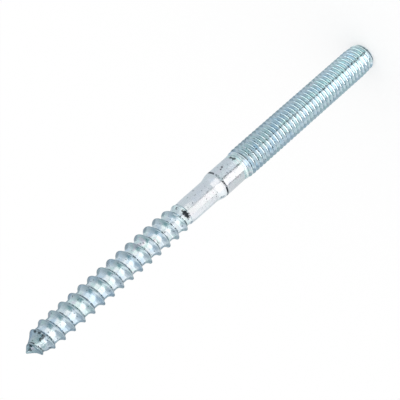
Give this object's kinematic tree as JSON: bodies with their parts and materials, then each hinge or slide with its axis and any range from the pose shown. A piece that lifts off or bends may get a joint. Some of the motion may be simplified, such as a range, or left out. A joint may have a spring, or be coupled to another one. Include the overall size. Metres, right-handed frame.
{
  "type": "hanger bolt",
  "caption": "Hanger bolt: a pointed coarse wood thread, a narrow plain shank that flares into a collar, and a metric machine thread with a chamfered end that takes a nut.",
  "frame": {"origin": "middle of the machine end's flat face, on the surface that the bolt stands on", "axes": "+Z along the bolt from the machine end up to the wood point, -Y towards the picture's camera"},
  "size_m": [0.0078, 0.0078, 0.116],
  "materials": {
    "zinc_plated_steel": "bright zinc plating with a faint blue cast, over rolled steel"
  },
  "bodies": {
    "root": {"hanger_bolt": "zinc_plated_steel"}
  },
  "joints": []
}
